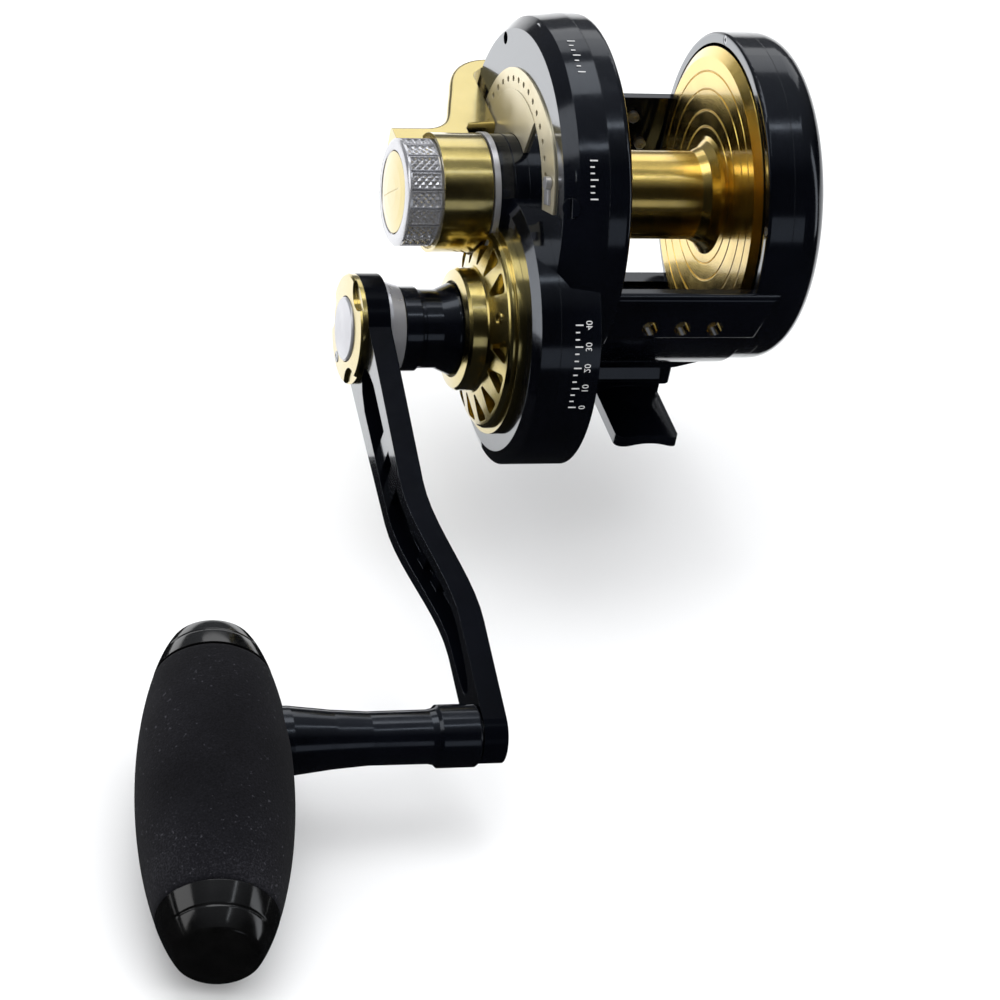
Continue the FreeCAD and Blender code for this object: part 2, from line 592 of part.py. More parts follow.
def preset_spring_washers():
    return turned([(-45.7, 3.5), (-45.7, 7.4), (-45.1, 7.8), (-44.6, 7.4), (-44.6, 3.5)])


def preset_knob():
    """Grip ring cut into panels by straight grooves, with a threaded bore on the axle."""
    x0, x1 = KNOB_X
    knob = turned([(x0, AXLE_R + FIT), (x0, KNOB_R - 0.6), (x0 + 0.6, KNOB_R), (x1 - 0.5, KNOB_R),
                   (x1, KNOB_R - 0.5), (x1, AXLE_R + FIT)])
    knob = knob.cut(rod(x0 - 1, x0 + 1.4, 8.45))
    for n in range(18):
        groove = rod(x0 + 0.9, x1 - 0.2, 0.35, polar(20 * n, KNOB_R + 0.05))
        knob = knob.cut(groove)
    return knob


def preset_knob_cap():
    """Slightly domed disc with a pointer line, pressed into the preset knob."""
    x0 = KNOB_X[0]
    cap = turned([(x0 - 0.45, 0), (x0 - 0.4, 3.0), (x0 - 0.2, 6.0), (x0 + 0.1, 8.3), (x0 + 1.4, 8.4), (x0 + 1.4, 0)])
    pointer = block(x0 - 1, x0 - 0.2, -5.3, 5.3, -0.15, 0.15)
    pointer.rotate(V(0, 0, 0), V(1, 0, 0), -41.0)
    pointer.translate(V(0, 0, AXIS_Z))
    return cap.cut(pointer)


# ---- vented cover -------------------------------------------------------------------------------------------
COVER_PHASE = 19.4            # first window's direction about the handle axis
SCREW_PLACES = (1, 9)         # window places that hold a screw instead


def window_prism(angle):
    """Wedge, narrow towards the collar, with its outer corners taken off."""
    outline = [(13.5, -0.45), (17.9, -2.25), (18.5, -2.15), (18.85, -1.6), (18.85, 1.6), (18.5, 2.15), (17.9, 2.25),
               (13.5, 0.45)]
    points = [V(-46, *polar(angle + math.degrees(math.atan2(v, u)), math.hypot(u, v), HANDLE)) for u, v in outline]
    return Part.Face(Part.makePolygon(points + points[:1])).extrude(V(11.8, 0, 0))


def cone_cover():
    """Dished cover with wedge pockets between its collar and its double rim."""
    front, back = CONE_X
    shell = turned([(back, 9.85), (front, 9.85), (front + 0.4, 12.0), (front + 1.0, 12.5), (-38.7, 12.5),
                    (-38.4, 13.0), (-36.5, 19.5), (-36.2, 19.9), (-35.7, 20.2), (-35.0, 20.2), (-35.0, 20.6),
                    (-35.0, CONE_FLANGE_R), (back, CONE_FLANGE_R), (back, 13.0), (-36.0, 11.5), (back, 11.5)],
                   HANDLE)
    shell = shell.cut(rod(back - 0.6, back + 1, 18.0, HANDLE).cut(rod(-40, -30, 13.5, HANDLE)))
    open_side = turned([(-46, 11), (-46, 21), (-34.5, 21), (-34.5, 20), (-36.5, 12.6), (-36.5, 11)], HANDLE)
    for n in range(WINDOWS):
        if n not in SCREW_PLACES:
            shell = shell.cut(window_prism(COVER_PHASE + n * 360 / WINDOWS).common(open_side))
    for n in SCREW_PLACES:
        shell = shell.cut(rod(-45, -36.1, 1.25, polar(COVER_PHASE + n * 360 / WINDOWS, 16.2, HANDLE)))
    return shell.cut(rod(-60, -20, HUB_R + 0.5))


def cone_cover_screws():
    made = []
    for n in SCREW_PLACES:
        at = polar(COVER_PHASE + n * 360 / WINDOWS, 16.2, HANDLE)
        made.append(rod(-37.5, -36.1, 1.2, at).cut(rod(-38, -37.0, 0.55, at)))
    return Part.makeCompound(made)


# ---- handle -------------------------------------------------------------------------------------------------
def arm_point(u, v, x):
    """Row position of a point u along the arm from the shaft and v across it."""
    across = V(0, ARM_DIR.z, -ARM_DIR.y)
    return V(x, HANDLE_Y, HANDLE_Z) + ARM_DIR * u + across * v


ARM_BEND = (44.0, 77.0)       # where the arm steps inwards
ARM_EYE_R = 11.2
ARM_END_R = 5.4


def arm_shift(u):
    """How far the arm has stepped towards the reel at u."""
    start, end = ARM_BEND
    t = min(max((u - start) / (end - start), 0.0), 1.0)
    return ARM_STEP * t * t * (3 - 2 * t)


def arm_slab(depth0, depth1):
    """Sheet that follows the arm's step, between two depths below the outer face."""
    start, end = ARM_BEND
    stations = [-13, start] + [start + (end - start) * n / 10 for n in range(1, 10)] + [end, ARM_LENGTH + 8]
    near = [arm_point(u, -14, ARM_OUT_X + depth0 + arm_shift(u)) for u in stations]
    far = [arm_point(u, -14, ARM_OUT_X + depth1 + arm_shift(u)) for u in reversed(stations)]
    across = arm_point(0, 28, 0) - arm_point(0, 0, 0)
    return Part.Face(Part.makePolygon(near + far + near[:1])).extrude(across)


def arm_outline(sides):
    """Prism along X over a symmetrical outline of (u, half width)."""
    x0, x1 = ARM_OUT_X - 2, ARM_OUT_X + ARM_THICK + ARM_STEP + 2
    points = [arm_point(u, v, x0) for u, v in sides] + [arm_point(u, -v, x0) for u, v in reversed(sides)]
    return Part.Face(Part.makePolygon(points + points[:1])).extrude(V(x1 - x0, 0, 0))


ARM_SIDES = [(4, 9.0), (22, 8.2), (46, 6.9), (78, 5.5), (ARM_LENGTH, ARM_END_R)]
POCKET_SIDES = [(11.5, 1.6), (14, 3.2), (18, 4.3), (44, 4.0), (66, 3.6), (84, 2.5), (88, 1.8), (89.5, 0.8)]
ARM_RIBS = [(27.4, 32.3, 1.0), (36.0, 41.3, 1.0), (55.0, 57.5, 2.3), (60.5, 63.0, 2.3)]   # from u, to u, depth


def handle_arm():
    """Stepped arm, hollowed from outside by one long pocket with cross ribs in it."""
    x0, x1 = ARM_OUT_X - 2, ARM_OUT_X + ARM_THICK + ARM_STEP + 2
    plan = fuse([arm_outline(ARM_SIDES), rod(x0, x1, ARM_EYE_R, HANDLE), rod(x0, x1, ARM_END_R, STEM)])
    arm = arm_slab(0, ARM_THICK).common(plan)
    pocket = arm_slab(-1, 3.6).common(arm_outline(POCKET_SIDES))
    for u0, u1, depth in ARM_RIBS:
        pocket = pocket.cut(arm_slab(depth, 6).common(arm_outline([(u0, 8), (u1, 8)])))
    arm = arm.cut(pocket)
    arm = arm.cut(rod(-70, -50, SHAFT_R, HANDLE))
    return arm.cut(rod(-70, -40, 2.5, STEM)).removeSplitter()


LOCK_SCREW = polar(-106, 8.9, HANDLE)


def handle_washer():
    return turned([(-58.5, SHAFT_R), (-58.5, 9.7), (-57.4, 9.7), (-54.6, 8.9), (-54.6, SHAFT_R)], HANDLE)


def nut_retainer():
    """Flat cap on the arm's eye, with three scallops that lock the nut."""
    cap = turned([(ARM_OUT_X, 6.7), (ARM_OUT_X, 11.2), (-64.3, 11.2), (-64.7, 10.8), (-64.9, 6.7)], HANDLE)
    for n in range(3):
        cap = cap.cut(rod(-66, -64.1, 4.4, polar(120 * n + 74, 12.4, HANDLE)))
    return cap.cut(rod(-70, -60, 1.15, LOCK_SCREW))


def retainer_screw():
    """Lock screw with two pin holes."""
    screw_head = rod(-64.9, -63.3, 1.1, LOCK_SCREW)
    for side in (-0.5, 0.5):
        screw_head = screw_head.cut(rod(-66, -64.3, 0.28, (LOCK_SCREW[0] + side, LOCK_SCREW[1])))
    return screw_head


def handle_nut():
    """Flat round nut on the drive shaft's end."""
    return turned([(ARM_OUT_X, 3.2), (ARM_OUT_X, 6.5), (-65.1, 6.5), (-65.4, 6.2), (-65.6, 2.4), (-65.6, 0),
                   (-64.9, 0), (-64.9, 3.2)], HANDLE)


def knob_spindle():
    """Shouldered pin, riveted in the arm's end, that the handle knob turns on."""
    outer = ARM_OUT_X + ARM_STEP
    return turned([(outer + ARM_THICK, 0), (outer + ARM_THICK, 2.5), (outer - 34, 2.5), (outer - 34, 0)], STEM)


STEM_BORE_R = 4.2


def knob_stem():
    """Turned stem from the arm to the grip."""
    start = ARM_OUT_X + ARM_STEP - 0.4
    inside = GRIP_X + 6.0
    return turned([(start, STEM_BORE_R), (start, 5.7), (start - 0.4, 6.0), (start - 7.6, 6.0), (start - 8.2, 5.4),
                   (start - 9.4, 5.15), (start - 21, 5.1), (start - 28, 5.6), (start - 36.5, 6.6), (inside, 6.6),
                   (inside, 3.4), (start - 35.6, 3.4), (start - 35.6, STEM_BORE_R)], STEM)


def knob_bearings():
    start = ARM_OUT_X + ARM_STEP - 0.4
    places = (start - 2.6, start - 32.0)
    return Part.makeCompound([ring(x, x + 2.5, STEM_BORE_R, 2.5 + FIT, STEM) for x in places])


def grip_axis():
    """Centre and direction of the grip, which leads and rakes outwards from the stem."""
    rake, drop = math.radians(GRIP_RAKE), math.radians(GRIP_DROP)
    way = V(-math.sin(rake), -math.cos(rake) * math.cos(drop), -math.cos(rake) * math.sin(drop))
    return V(GRIP_X, *STEM) + way * GRIP_LEAD, way


def grip_radius(t):
    """Radius at t, from -1 at the rear end to 1 at the front end."""
    return GRIP_END_R + (GRIP_R - GRIP_END_R) * (1 - t * t) ** 0.71


def grip_solid(t0, t1, steps):
    """Slice of the barrel-shaped grip between two stations."""
    centre, way = grip_axis()
    side = way.cross(V(1, 0, 0)).normalize()
    half = GRIP_LENGTH / 2
    stations = [t0 + (t1 - t0) * n / steps for n in range(steps + 1)]
    rim = [centre + way * (half * t) + side * grip_radius(t) for t in stations]
    curve = Part.BSplineCurve()
    curve.interpolate(rim)
    start, end = centre + way * (half * t0), centre + way * (half * t1)
    wire = Part.Wire([Part.makeLine(start, rim[0]), curve.toShape(), Part.makeLine(rim[-1], end),
                      Part.makeLine(end, start)])
    return Part.Face(wire).revolve(centre, way, 360)


CAP_T = 0.735
END_T = 0.97


def knob_grip():
    grip = grip_solid(-CAP_T, CAP_T, 16)
    return grip.cut(rod(GRIP_X + 6.0, GRIP_X + 40, 6.6, STEM))


def knob_cap_front():
    return grip_solid(CAP_T, END_T, 6)


def knob_cap_rear():
    return grip_solid(-END_T, -CAP_T, 6)


PIECES = [
    frame, gear_side_plate, drive_housing_cap, bridge_plate, gear_plate_screws, housing_plug, palm_side_plate,
    palm_plate_screws, reel_foot, foot_screws, rear_bar_screws, main_gear, pinion_gear, drag_rotor, drag_washer,
    drive_shaft, drive_sleeve, drive_bearing_outer, roller_clutch, drive_bearing_inner, pinion_bearings,
    ratchet_wheel, anti_reverse_dog, dog_pivot, spool, spool_bearings, click_ratchet, spool_axle,
    spool_spring_washers, axle_bushing, click_button, quadrant_plate, quadrant_stop, cam_ring_fixed,
    cam_ring_turning, lever_washer, drag_lever, lever_detent, preset_thrust_bearing, preset_spring_washers,
    preset_knob, preset_knob_cap, cone_cover, cone_cover_screws, handle_arm, handle_washer, nut_retainer,
    retainer_screw, handle_nut, knob_spindle, knob_stem, knob_bearings, knob_grip, knob_cap_front, knob_cap_rear,
]

os.makedirs("parts", exist_ok=True)
for piece in PIECES:
    shape = piece()
    shape.exportStep("parts/" + piece.__name__ + ".step")
    print(piece.__name__, shape.ShapeType, len(shape.Solids), shape.isValid(), round(shape.Volume, 1))
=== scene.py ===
"""Looks for the lever-drag trolling reel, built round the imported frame.

Metres, +Z up, -Y is the front and -X the handle side; outlines of built pieces are in mm. Positions come
from the frame's boxes and joints and from the reel's own axes below. Every finish is a node material in
object space, so it moves with its piece.
"""

import json
import math

import bpy
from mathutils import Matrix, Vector


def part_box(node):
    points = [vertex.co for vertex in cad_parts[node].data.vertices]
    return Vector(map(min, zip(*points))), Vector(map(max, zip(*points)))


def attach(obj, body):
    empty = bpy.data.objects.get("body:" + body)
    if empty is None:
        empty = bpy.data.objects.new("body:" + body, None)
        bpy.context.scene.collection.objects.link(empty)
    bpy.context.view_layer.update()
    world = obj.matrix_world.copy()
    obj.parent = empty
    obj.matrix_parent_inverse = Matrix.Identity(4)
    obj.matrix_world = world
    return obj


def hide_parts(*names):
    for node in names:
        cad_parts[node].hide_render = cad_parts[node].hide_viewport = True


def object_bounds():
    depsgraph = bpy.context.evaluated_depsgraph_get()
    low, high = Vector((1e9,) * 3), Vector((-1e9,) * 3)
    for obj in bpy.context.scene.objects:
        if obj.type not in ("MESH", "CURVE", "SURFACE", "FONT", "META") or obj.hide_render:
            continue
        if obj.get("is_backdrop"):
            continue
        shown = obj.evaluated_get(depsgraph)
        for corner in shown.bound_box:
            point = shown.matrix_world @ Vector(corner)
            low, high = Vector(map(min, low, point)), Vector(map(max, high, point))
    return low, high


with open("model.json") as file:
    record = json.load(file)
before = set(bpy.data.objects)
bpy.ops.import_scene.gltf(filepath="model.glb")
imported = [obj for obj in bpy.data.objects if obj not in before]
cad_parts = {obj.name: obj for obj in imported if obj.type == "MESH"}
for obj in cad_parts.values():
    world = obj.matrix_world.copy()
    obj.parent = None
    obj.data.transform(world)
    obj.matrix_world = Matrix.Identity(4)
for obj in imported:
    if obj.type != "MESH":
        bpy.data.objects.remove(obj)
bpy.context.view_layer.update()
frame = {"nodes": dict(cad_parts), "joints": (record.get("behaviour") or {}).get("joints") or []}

MM = 0.001

# The three axes that run along X, each as (y, z).
joint_at = {j["name"]: j.get("pos_m") for j in frame["joints"]}
SPOOL_AXIS = (0.0, 0.040)
CRANK_AXIS = tuple(joint_at["handle_crank"][1:])
STEM_AXIS = tuple(joint_at["handle_knob_spin"][1:])

RING_GROOVE_HALF, RING_GROOVE_DEPTH = 0.00026, 0.00010


# ---- node helpers --------------------------------------------------------------------------------
class Graph:
    """A small writer for one material's nodes."""

    def __init__(self, name):
        self.material = bpy.data.materials.new(name)
        self.material.use_nodes = True
        self.tree = self.material.node_tree
        self.shader = self.tree.nodes["Principled BSDF"]
        self.space = self.tree.nodes.new("ShaderNodeTexCoord").outputs["Object"]

    def put(self, node, socket, value):
        """Links a socket's output to an input, or sets the input to a plain value."""
        target = node.inputs[socket]
        if isinstance(value, bpy.types.NodeSocket):
            self.tree.links.new(value, target)
        else:
            target.default_value = value

    def math(self, operation, *values):
        node = self.tree.nodes.new("ShaderNodeMath")
        node.operation = operation
        for n, value in enumerate(values):
            self.put(node, n, value)
        return node.outputs[0]

    def vector(self, operation, *values):
        node = self.tree.nodes.new("ShaderNodeVectorMath")
        node.operation = operation
        for n, value in enumerate(values):
            self.put(node, n, value)
        return node.outputs["Vector"]

    def split(self, vector):
        node = self.tree.nodes.new("ShaderNodeSeparateXYZ")
        self.put(node, 0, vector)
        return node.outputs

    def join(self, x, y, z):
        node = self.tree.nodes.new("ShaderNodeCombineXYZ")
        for n, value in enumerate((x, y, z)):
            self.put(node, n, value)
        return node.outputs[0]

    def noise(self, vector, scale, detail=2.0, roughness=0.5):
        node = self.tree.nodes.new("ShaderNodeTexNoise")
        self.put(node, "Vector", vector)
        for socket, value in (("Scale", scale), ("Detail", detail), ("Roughness", roughness)):
            self.put(node, socket, value)
        return node.outputs["Fac"]

    def ramp(self, factor, *stops):
        """Colour or grey ramp over (position, value) stops."""
        node = self.tree.nodes.new("ShaderNodeValToRGB")
        self.put(node, 0, factor)
        while len(node.color_ramp.elements) < len(stops):
            node.color_ramp.elements.new(0.5)
        for element, (position, value) in zip(node.color_ramp.elements, stops):
            element.position = position
            element.color = (value, value, value, 1) if isinstance(value, float) else (*value, 1)
        return node.outputs[0]

    def range(self, value, low, high, to_low, to_high):
        """Carries low..high over to to_low..to_high, held at both ends."""
        node = self.tree.nodes.new("ShaderNodeMapRange")
        for n, v in enumerate((value, low, high, to_low, to_high)):
            self.put(node, n, v)
        return node.outputs[0]

    def bump(self, height, distance, strength=1.0, normal=None):
        node = self.tree.nodes.new("ShaderNodeBump")
        self.put(node, "Height", height)
        self.put(node, "Distance", distance)
        self.put(node, "Strength", strength)
        if normal is not None:
            self.put(node, "Normal", normal)
        return node.outputs[0]

    def round_edges(self, radius):
        node = self.tree.nodes.new("ShaderNodeBevel")
        node.samples = 4
        self.put(node, "Radius", radius)
        return node.outputs[0]

    def polar(self, axis):
        """Radius from an axis along X, the unit vector round it, and x, all in object space."""
        x, y, z = self.split(self.space)
        dy, dz = self.math("SUBTRACT", y, axis[0]), self.math("SUBTRACT", z, axis[1])
        squares = self.math("ADD", self.math("MULTIPLY", dy, dy), self.math("MULTIPLY", dz, dz))
        radius = self.math("SQRT", squares)
        around = self.vector("NORMALIZE", self.join(0.0, self.math("MULTIPLY", dz, -1.0), dy))
        return radius, around, x

    def grooves(self, radius, radii_mm):
        """1 in the middle of each thin ring groove, 0 away from them."""
        total = 0.0
        for r in radii_mm:
            away = self.math("ABSOLUTE", self.math("SUBTRACT", radius, r * MM))
            total = self.math("MAXIMUM", self.range(away, 0.0, RING_GROOVE_HALF, 1.0, 0.0), total)
        return total

    def lathe_marks(self, axis, lines_per_mm, depth, edge, radii_mm=()):
        """Bump of fine turned rings on faces and rims, ring grooves, and the grain as the tangent."""
        radius, around, x = self.polar(axis)
        across_rings = self.join(radius, self.math("MULTIPLY", x, 1.07), 0.0)
        rings = self.noise(across_rings, lines_per_mm / MM, 3.0, 0.6)
        to_world = self.tree.nodes.new("ShaderNodeVectorTransform")
        to_world.vector_type, to_world.convert_from, to_world.convert_to = "VECTOR", "OBJECT", "WORLD"
        self.put(to_world, 0, around)
        geometry = self.tree.nodes.new("ShaderNodeNewGeometry")
        grain = self.vector("CROSS_PRODUCT", geometry.outputs["Normal"], to_world.outputs[0])
        self.put(self.shader, "Tangent", grain)
        normal = self.round_edges(edge)
        if radii_mm:
            normal = self.bump(self.grooves(radius, radii_mm), -RING_GROOVE_DEPTH, 1.0, normal)
        self.put(self.shader, "Normal", self.bump(rings, depth, 1.0, normal))
        return rings

    def finish(self, **values):
        """Sets the shader's inputs and gives back the material."""
        names = {"colour": "Base Color", "metal": "Metallic", "rough": "Roughness", "ior": "IOR",
                 "aniso": "Anisotropic", "coat": "Coat Weight", "coat_rough": "Coat Roughness",
                 "sheen": "Sheen Weight", "sheen_rough": "Sheen Roughness", "normal": "Normal",
                 "level": "Specular IOR Level", "tint": "Specular Tint"}
        for key, value in values.items():
            if isinstance(value, tuple) and len(value) == 3:
                value = (*value, 1.0)
            self.put(self.shader, names[key], value)
        return self.material


def turned_metal(name, colour, shade, axis, rough, aniso=0.55, edge=0.00018, grooves=(), metal=1.0,
                 coat=0.0):
    """Anodised or bare metal off the lathe: fine rings, with a little drift in tone and gloss."""
    g = Graph(name)
    lines_per_mm, depth = 7.0, 0.000004
    rings = g.lathe_marks(axis, lines_per_mm, depth, edge, grooves)
    cloud = g.noise(g.space, 90.0, 3.0)
    tone = g.ramp(g.math("ADD", g.math("MULTIPLY", rings, 0.35), g.math("MULTIPLY", cloud, 0.65)),
                  (0.3, shade), (0.7, colour))
    gloss = g.range(g.noise(g.space, 260.0, 4.0), 0.3, 0.7, rough * 0.85, rough * 1.2)
    return g.finish(colour=tone, metal=metal, rough=gloss, aniso=aniso, coat=coat, coat_rough=0.10)


def black_anodised(name, rough=0.13, axis=None, edge=0.00022, rim_ior=1.46, rim_coat=0.15, grooves=()):
    """Black anodising, deep blue-black: handle-side faces are brighter polished than the turned rims."""
    g = Graph(name)
    lines_per_mm, ring_depth, smear_depth = 5.0, 0.0000012, 0.000002
    face_ior, face_coat = 2.1, 1.0
    cloud = g.noise(g.space, 60.0, 4.0)
    tone = g.ramp(cloud, (0.3, BLACK_SHADE), (0.7, BLACK))
    smears = g.noise(g.space, 420.0, 5.0, 0.65)
    gloss = g.range(smears, 0.35, 0.7, rough * 0.8, rough * 1.35)
    own_normal = g.tree.nodes.new("ShaderNodeTexCoord").outputs["Normal"]
    faced = g.range(g.split(own_normal)[0], -0.80, -0.95, 0.0, 1.0)     # 1 on faces towards the handle side
    if axis:
        g.lathe_marks(axis, lines_per_mm, ring_depth, edge, grooves)
    else:
        g.put(g.shader, "Normal", g.bump(smears, smear_depth, 1.0, g.round_edges(edge)))
    return g.finish(colour=tone, metal=0.0, rough=gloss, ior=g.range(faced, 0.0, 1.0, rim_ior, face_ior),
                    coat=g.range(faced, 0.0, 1.0, rim_coat, face_coat), coat_rough=0.06, tint=BLACK_TINT)


def dress(node, material):
    """Gives a CAD node a finish."""
    mesh = frame["nodes"][node].data
    mesh.materials.clear()
    mesh.materials.append(material)


GOLD, GOLD_SHADE = (0.66, 0.535, 0.19), (0.60, 0.475, 0.145)
CHAMPAGNE, CHAMPAGNE_SHADE = (0.84, 0.77, 0.58), (0.78, 0.70, 0.49)
DEEP_GOLD, DEEP_GOLD_SHADE = (0.92, 0.68, 0.19), (0.87, 0.61, 0.14)
SILVER, SILVER_SHADE = (0.62, 0.62, 0.645), (0.52, 0.52, 0.55)
STEEL, STEEL_SHADE = (0.56, 0.57, 0.59), (0.45, 0.46, 0.48)
BRIGHT, BRIGHT_SHADE = (0.66, 0.66, 0.68), (0.54, 0.54, 0.57)
BRASS, BRASS_SHADE = (0.72, 0.52, 0.22), (0.60, 0.41, 0.15)
BLACK, BLACK_SHADE = (0.0019, 0.0023, 0.0042), (0.0009, 0.0011, 0.0019)
BLACK_TINT = (0.80, 0.88, 1.0)
FOAM_DARK, FOAM_MIDDLE = (0.0014, 0.0014, 0.0024), (0.0058, 0.0058, 0.0080)
FOAM_PALE = (0.032, 0.032, 0.038)

gold_spool = turned_metal("gold_turned_on_spool_axis", GOLD, GOLD_SHADE, SPOOL_AXIS, 0.20, coat=1.0)
gold_arbor = turned_metal("gold_turned_spool", DEEP_GOLD, DEEP_GOLD_SHADE, SPOOL_AXIS, 0.22, aniso=0.6,
                          grooves=(14.2, 17.6, 21.9, 25.6), coat=0.8)
gold_crank = turned_metal("gold_turned_on_crank_axis", GOLD, GOLD_SHADE, CRANK_AXIS, 0.20, coat=1.0)
champagne_plate = turned_metal("champagne_on_spool_axis", CHAMPAGNE, CHAMPAGNE_SHADE, SPOOL_AXIS, 0.34,
                               metal=0.85)
silver_spool = turned_metal("silver_on_spool_axis", SILVER, SILVER_SHADE, SPOOL_AXIS, 0.32, metal=0.8)
silver_crank = turned_metal("silver_on_crank_axis", SILVER, SILVER_SHADE, CRANK_AXIS, 0.32, metal=0.75)
silver_knurl = turned_metal("silver_knurled", BRIGHT, BRIGHT_SHADE, SPOOL_AXIS, 0.22, aniso=0.2,
                            edge=0.00006, metal=0.80)
steel_spool = turned_metal("steel_on_spool_axis", STEEL, STEEL_SHADE, SPOOL_AXIS, 0.30)
steel_crank = turned_metal("steel_on_crank_axis", STEEL, STEEL_SHADE, CRANK_AXIS, 0.30)
steel_stem = turned_metal("steel_on_stem_axis", STEEL, STEEL_SHADE, STEM_AXIS, 0.30)
brass_spool = turned_metal("brass_on_spool_axis", BRASS, BRASS_SHADE, SPOOL_AXIS, 0.34)
brass_crank = turned_metal("brass_on_crank_axis", BRASS, BRASS_SHADE, CRANK_AXIS, 0.34)
black_plain = black_anodised("black_anodised_milled")
black_spool = black_anodised("black_anodised_spool_axis", axis=SPOOL_AXIS)
black_palm = black_anodised("black_anodised_palm", axis=SPOOL_AXIS, grooves=(11.0, 26.6, 27.6))
black_crank = black_anodised("black_anodised_crank_axis", axis=CRANK_AXIS)
black_stem = black_anodised("black_anodised_stem_axis", rough=0.15, axis=STEM_AXIS, rim_ior=1.5,
                            rim_coat=0.1)
black_arm = black_anodised("black_anodised_arm", rough=0.16, edge=0.0003, rim_ior=1.12, rim_coat=0.0)


def carbon():
    """Woven carbon washer: a fine check of two greys, slightly raised."""
    g = Graph("carbon_weave")
    checker = g.tree.nodes.new("ShaderNodeTexChecker")
    g.put(checker, "Vector", g.space)
    g.put(checker, "Scale", 900.0)
    return g.finish(colour=g.ramp(checker.outputs["Fac"], (0.0, 0.012), (1.0, 0.05)), rough=0.55,
                    normal=g.bump(checker.outputs["Fac"], 0.00005))


def foam():
    """Closed-cell EVA: matt charcoal with paler specks, more of them in some patches than in others."""
    g = Graph("eva_foam")
    grain = g.noise(g.space, 2600.0, 3.0, 0.7)
    cells = g.tree.nodes.new("ShaderNodeTexVoronoi")
    g.put(cells, "Vector", g.space)
    g.put(cells, "Scale", 1900.0)
    patches = g.noise(g.space, 42.0, 4.0)
    mix = g.math("ADD", g.math("MULTIPLY", grain, 0.55), g.math("MULTIPLY", patches, 0.45))
    dust = g.math("MULTIPLY", g.range(g.noise(g.space, 1150.0, 2.0), 0.66, 0.76, 0.0, 0.5),
                  g.range(patches, 0.36, 0.56, 0.45, 1.0))
    tone = g.ramp(g.math("ADD", mix, dust), (0.38, FOAM_DARK), (0.56, FOAM_MIDDLE), (0.80, FOAM_PALE))
    height = g.math("ADD", g.math("MULTIPLY", cells.outputs["Distance"], 0.6), grain)
    return g.finish(colour=tone, rough=0.93, normal=g.bump(height, 0.00007, 0.8), sheen=0.02,
                    sheen_rough=0.6, level=0.10)


def polished_cap():
    """Glossy black plastic with faint smears."""
    g = Graph("polished_black_cap")
    smears = g.noise(g.space, 300.0, 4.0)
    tone = g.ramp(smears, (0.3, 0.0015), (0.7, 0.003))
    gloss = g.range(smears, 0.3, 0.7, 0.10, 0.16)
    return g.finish(colour=tone, rough=gloss, ior=1.5,
                    normal=g.bump(smears, 0.000001, 1.0, g.round_edges(0.0002)))


def white_enamel():
    """Matt white paint in the engraved scales."""
    g = Graph("white_fill")
    grain = g.noise(g.space, 3000.0, 3.0)
    return g.finish(colour=g.ramp(grain, (0.3, 0.50), (0.7, 0.68)), rough=0.5)


eva, cap_black, carbon_weave, white_fill = foam(), polished_cap(), carbon(), white_enamel()

finishes = {
    black_plain: ["frame", "reel_foot", "click_button"],
    black_spool: ["gear_side_plate", "housing_plug"],
    black_palm: ["palm_side_plate"],
    black_crank: ["drive_housing_cap", "drive_sleeve"],
    black_arm: ["handle_arm"],
    black_stem: ["knob_stem"],
    gold_arbor: ["spool"],
    gold_spool: ["drag_lever", "preset_knob_cap"],
    champagne_plate: ["quadrant_plate"],
    gold_crank: ["cone_cover", "cone_cover_screws", "nut_retainer"],
    silver_spool: ["preset_knob", "lever_washer", "quadrant_stop"],
    silver_crank: ["handle_washer", "handle_nut"],
    steel_spool: ["gear_plate_screws", "palm_plate_screws", "foot_screws", "rear_bar_screws",
                  "pinion_bearings", "drag_rotor", "spool_bearings", "spool_axle", "spool_spring_washers",
                  "cam_ring_fixed", "cam_ring_turning", "lever_detent", "preset_thrust_bearing",
                  "preset_spring_washers", "bridge_plate"],
    steel_crank: ["drive_shaft", "drive_bearing_outer", "drive_bearing_inner", "roller_clutch",
                  "ratchet_wheel", "anti_reverse_dog", "dog_pivot", "retainer_screw"],
    steel_stem: ["knob_spindle", "knob_bearings"],
    brass_spool: ["pinion_gear", "click_ratchet", "axle_bushing"],
    brass_crank: ["main_gear"],
    carbon_weave: ["drag_washer"],
    eva: ["knob_grip"],
    cap_black: ["knob_cap_front", "knob_cap_rear"],
}
for material, nodes in finishes.items():
    for node in nodes:
        dress(node, material)


# ---- built pieces --------------------------------------------------------------------------------
def built(name, points, faces, material, body, sharp=32.0):
    """Mesh piece from points in mm, smooth except at sharp corners."""
    mesh = bpy.data.meshes.new(name)
    mesh.from_pydata([tuple(c * MM for c in p) for p in points], [], faces)
    mesh.validate()
    for polygon in mesh.polygons:
        polygon.use_smooth = True
    mesh.set_sharp_from_angle(angle=math.radians(sharp))
    mesh.materials.append(material)
    obj = bpy.data.objects.new(name, mesh)
    bpy.context.scene.collection.objects.link(obj)
    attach(obj, body)
    return obj


def turned_points(rows, origin, along, segments, closed=False):
    """Points and faces of a turned skin: rows of (distance along, radius or radius by angle), all in mm."""
    origin, along = Vector(origin), Vector(along).normalized()
    side = along.orthogonal().normalized()
    other = along.cross(side)
    points = []
    for distance, radius in rows:
        for n in range(segments):
            angle = 2 * math.pi * n / segments
            r = radius(angle) if callable(radius) else radius
            outward = side * math.cos(angle) + other * math.sin(angle)
            points.append(origin + along * distance + outward * r)
    faces = []
    count = len(rows)
    for k in range(count if closed else count - 1):
        for n in range(segments):
            a, b = k * segments + n, k * segments + (n + 1) % segments
            c, d = ((k + 1) % count) * segments + (n + 1) % segments, ((k + 1) % count) * segments + n
            faces.append((a, b, c, d))
    if not closed:
        faces.append(tuple(reversed(range(segments))))
        faces.append(tuple(range((count - 1) * segments, count * segments)))
    return points, faces


